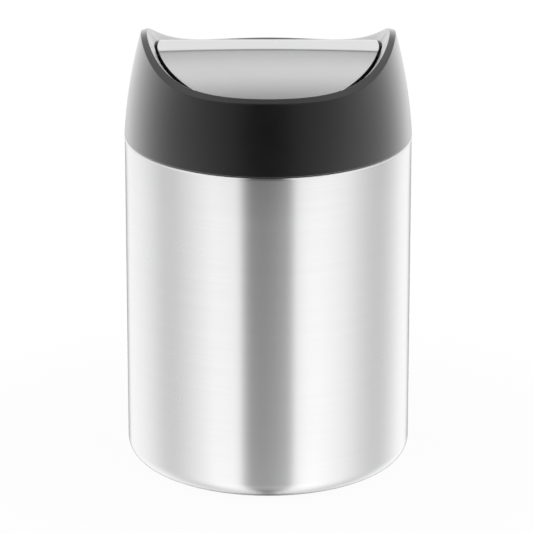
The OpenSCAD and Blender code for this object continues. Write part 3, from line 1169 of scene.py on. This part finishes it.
@dataclass
class Studio:
    """White floor, soft light tent and the camera of the photograph."""

    image_px: int = 533
    focal_px: float = 3785.95
    sensor_mm: float = 36.0
    distance: float = 1.450
    height: float = 0.59108
    pitch_deg: float = 19.417
    aside: float = -0.00069
    floor_radius: float = 6.0
    floor_grey: float = 0.93
    floor_white: float = 0.94
    floor_fade: Fade = (0.06, 0.20)
    tent_radius: float = 1.0
    side_lift: float = 0.35
    shadow_share: float = 0.85
    shadow_colour: Colour = (0.05, 0.05, 0.05)
    slot_colour: Colour = (0.08, 0.08, 0.08)
    # directions and elevations between which the parts of the tent fade, in degrees
    side_fade: Fade = (60.0, 25.0)
    back_fade: Fade = (70.0, 120.0)
    roof_fade: Fade = (8.0, 20.0)
    shadow_side: Fade = (150.0, 164.0)
    shadow_up: Fade = (-3.0, -10.0)
    slot_aside: float = 2.0
    slot_side: Fade = (24.0, 14.0)
    slot_up: Fade = (80.0, 55.0)
    # brightness of the tent's wall by its direction from the camera's side, in degrees
    wall: tuple[tuple[float, float], ...] = (
        (-180, 0.94), (-146, 1.00), (-134, 0.95), (-120, 0.91), (-105, 0.77), (-90, 0.59),
        (-78, 0.60), (-66, 0.74), (-55, 0.87), (-44, 0.94), (-36, 0.87), (-29, 0.83),
        (-23, 0.79), (-18, 0.25), (-13, 0.11), (-2, 0.12), (4, 0.15), (10, 0.20), (15, 0.23),
        (18, 0.34), (22, 0.77), (31, 0.90), (40, 0.96), (50, 0.97), (62, 0.91), (78, 0.70),
        (90, 0.58), (101, 0.56), (113, 0.70), (130, 0.96), (146, 1.02), (180, 0.94),
    )
    # light added to the wall by elevation, in degrees: the lower, the brighter
    lift: tuple[tuple[float, float], ...] = (
        (-90, 0.00), (-64, 0.10), (-44, 0.38), (-26, 0.38), (-10, 0.12), (2, 0.00), (90, 0.00),
    )
    # brightness of the tent's roof at the back by its elevation, in degrees
    roof: tuple[tuple[float, float], ...] = (
        (-90, 1.0), (22, 1.0), (26, 0.92), (29, 0.80), (34, 0.78), (38, 0.34), (45, 0.16),
        (51, 0.30), (56, 0.62), (60, 0.92), (64, 0.88), (67, 0.44), (71, 0.12), (90, 0.10),
    )

    def camera(self) -> None:
        """Creates the camera at the photograph's place and makes it the scene's."""
        data = bpy.data.cameras.new("photo_camera")
        data.sensor_width = self.sensor_mm
        data.lens = self.focal_px * self.sensor_mm / self.image_px
        data.clip_start, data.clip_end = 0.01, 50.0
        camera = bpy.data.objects.new("photo_camera", data)
        camera.location = (self.aside, -self.distance, self.height)
        camera.rotation_euler = (math.radians(90.0 - self.pitch_deg), 0.0, 0.0)
        bpy.context.scene.collection.objects.link(camera)
        bpy.context.scene.camera = camera
        LOG.info("camera: lens %.1f mm", data.lens)

    def world(self) -> None:
        """Makes the world plain white."""
        world = bpy.data.worlds.new("white_room")
        world.use_nodes = True
        bpy.context.scene.world = world
        recipe = Recipe(world.node_tree)
        shade = recipe.node("ShaderNodeBackground", sockets={"Color": (1, 1, 1), "Strength": 1.0})
        recipe.node("ShaderNodeOutputWorld", sockets={"Surface": shade})

    def floor(self) -> None:
        """Lays the floor: a white disc that keeps the object's shadow."""
        radii = (0.0, 0.05, 0.1, 0.2, 0.4, 0.8, 1.6, 3.0, self.floor_radius)
        disc = swept("studio_floor", lambda _a: [(r / MM, 0.0) for r in radii], 64, closed=False)
        made = bpy.data.materials.new("floor_white")
        made.use_nodes = True
        recipe = Recipe(made.node_tree)
        x, y, _ = recipe.axes(recipe.place())
        far = recipe.maths("SQRT", x * x + y * y).step(*self.floor_fade)
        rays = recipe.node("ShaderNodeLightPath").socket.node
        seen = Channel(recipe, rays.outputs["Is Camera Ray"])
        seen = seen + Channel(recipe, rays.outputs["Is Glossy Ray"])
        seen = seen + Channel(recipe, rays.outputs["Is Transmission Ray"])
        share = seen.clipped() * (self.floor_white + far * (1.0 - self.floor_white))
        grey = (self.floor_grey,) * 3
        matt = recipe.node("ShaderNodeBsdfDiffuse", sockets={"Color": grey, "Roughness": 0.5})
        white = recipe.node("ShaderNodeEmission", sockets={"Color": (1, 1, 1), "Strength": 1.0})
        surface = recipe.node("ShaderNodeMixShader", sockets={0: share, 1: matt, 2: white})
        recipe.node("ShaderNodeOutputMaterial", sockets={"Surface": surface})
        disc.data.materials.append(made)
        disc.visible_glossy = False
        disc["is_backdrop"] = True

    def tent(self) -> None:
        """Hangs the light tent: a ball of soft light with a dark slot where the camera looks in."""
        outline = [
            (self.tent_radius / MM * math.cos(e), self.tent_radius / MM * math.sin(e))
            for e in np.radians(np.linspace(-90, 90, 37))
        ]
        ball = swept("light_tent", lambda _a: outline, 72, closed=False)
        made = bpy.data.materials.new("tent_light")
        made.use_nodes = True
        recipe = Recipe(made.node_tree)
        way = recipe.node(
            "ShaderNodeVectorMath", {"operation": "NORMALIZE"}, {0: recipe.place()}
        )
        x, y, z = recipe.axes(way)
        round_deg = recipe.maths("ARCTAN2", x, 0.0 - y) * (180.0 / math.pi)
        up_deg = recipe.maths("ARCSINE", z) * (180.0 / math.pi)
        wall = self._bands(recipe, round_deg, self.wall, -180.0, 180.0)
        roof = self._bands(recipe, up_deg, self.roof, -90.0, 90.0)
        lift = self._bands(recipe, up_deg, self.lift, -90.0, 90.0)
        shaded = abs(round_deg).step(*self.side_fade)
        wall = recipe.node(
            "ShaderNodeMix", {"data_type": "RGBA", "blend_type": "ADD"},
            {0: self.side_lift + shaded * (1.0 - self.side_lift), 6: wall, 7: lift}, 2,
        )
        shadow = abs(round_deg).step(*self.shadow_side) * up_deg.step(*self.shadow_up)
        wall = recipe.blend(shadow * self.shadow_share, wall, self.shadow_colour)
        behind = abs(round_deg).step(*self.back_fade)
        slot = abs(round_deg + self.slot_aside).step(*self.slot_side)
        slot = slot * up_deg.step(*self.slot_up)
        front = recipe.blend(slot, (1.0, 1.0, 1.0), self.slot_colour)
        above = recipe.blend(behind, front, roof)
        light = recipe.blend(up_deg.step(*self.roof_fade), wall, above)
        shade = recipe.node("ShaderNodeEmission", sockets={"Color": light, "Strength": 1.0})
        recipe.node("ShaderNodeOutputMaterial", sockets={"Surface": shade})
        ball.data.materials.append(made)
        ball.visible_camera = False
        ball.visible_shadow = False
        ball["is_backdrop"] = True

    @staticmethod
    def _bands(
        recipe: Recipe,
        angle: Channel,
        levels: Sequence[tuple[float, float]],
        low: float,
        high: float,
    ) -> Channel:
        """Returns a soft ramp of brightness along an angle.

        Args:
            recipe: tree that the ramp is added to.
            angle: the angle in degrees.
            levels: (angle, brightness) pairs in rising order.
            low: angle at the ramp's start.
            high: angle at the ramp's end.

        Returns:
            The brightness as a grey colour.
        """
        stops = [((a - low) / (high - low), level) for a, level in levels]
        return recipe.node(
            "ShaderNodeValToRGB", {"stops": stops}, {0: (angle - low) * (1.0 / (high - low))}
        )

    def build(self) -> None:
        """Sets the scene."""
        bpy.context.scene.view_settings.view_transform = "Standard"
        self.camera()
        self.world()
        self.floor()
        self.tent()


# --- scene ------------------


def dress_nodes() -> None:
    """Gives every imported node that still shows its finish."""
    for name, finish in FINISH_OF_NODE.items():
        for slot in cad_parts[name].material_slots:
            slot.material = finish.material()
        LOG.info("%s: %s", name, finish.label)


def corners() -> list[list[float]]:
    """Returns the shown object's lowest and highest corner as plain lists."""
    return [list(corner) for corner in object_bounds()]


def main() -> None:
    """Builds the studio and the object."""
    logging.basicConfig(level=logging.INFO, format="%(name)s: %(message)s")
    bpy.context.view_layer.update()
    Studio().build()
    can = Can()
    lid = Lid(base=can.top)
    can.build()
    lid.build()
    Collar(can=can, lid=lid).build()
    dress_nodes()


if __name__ == "__main__":
    main()
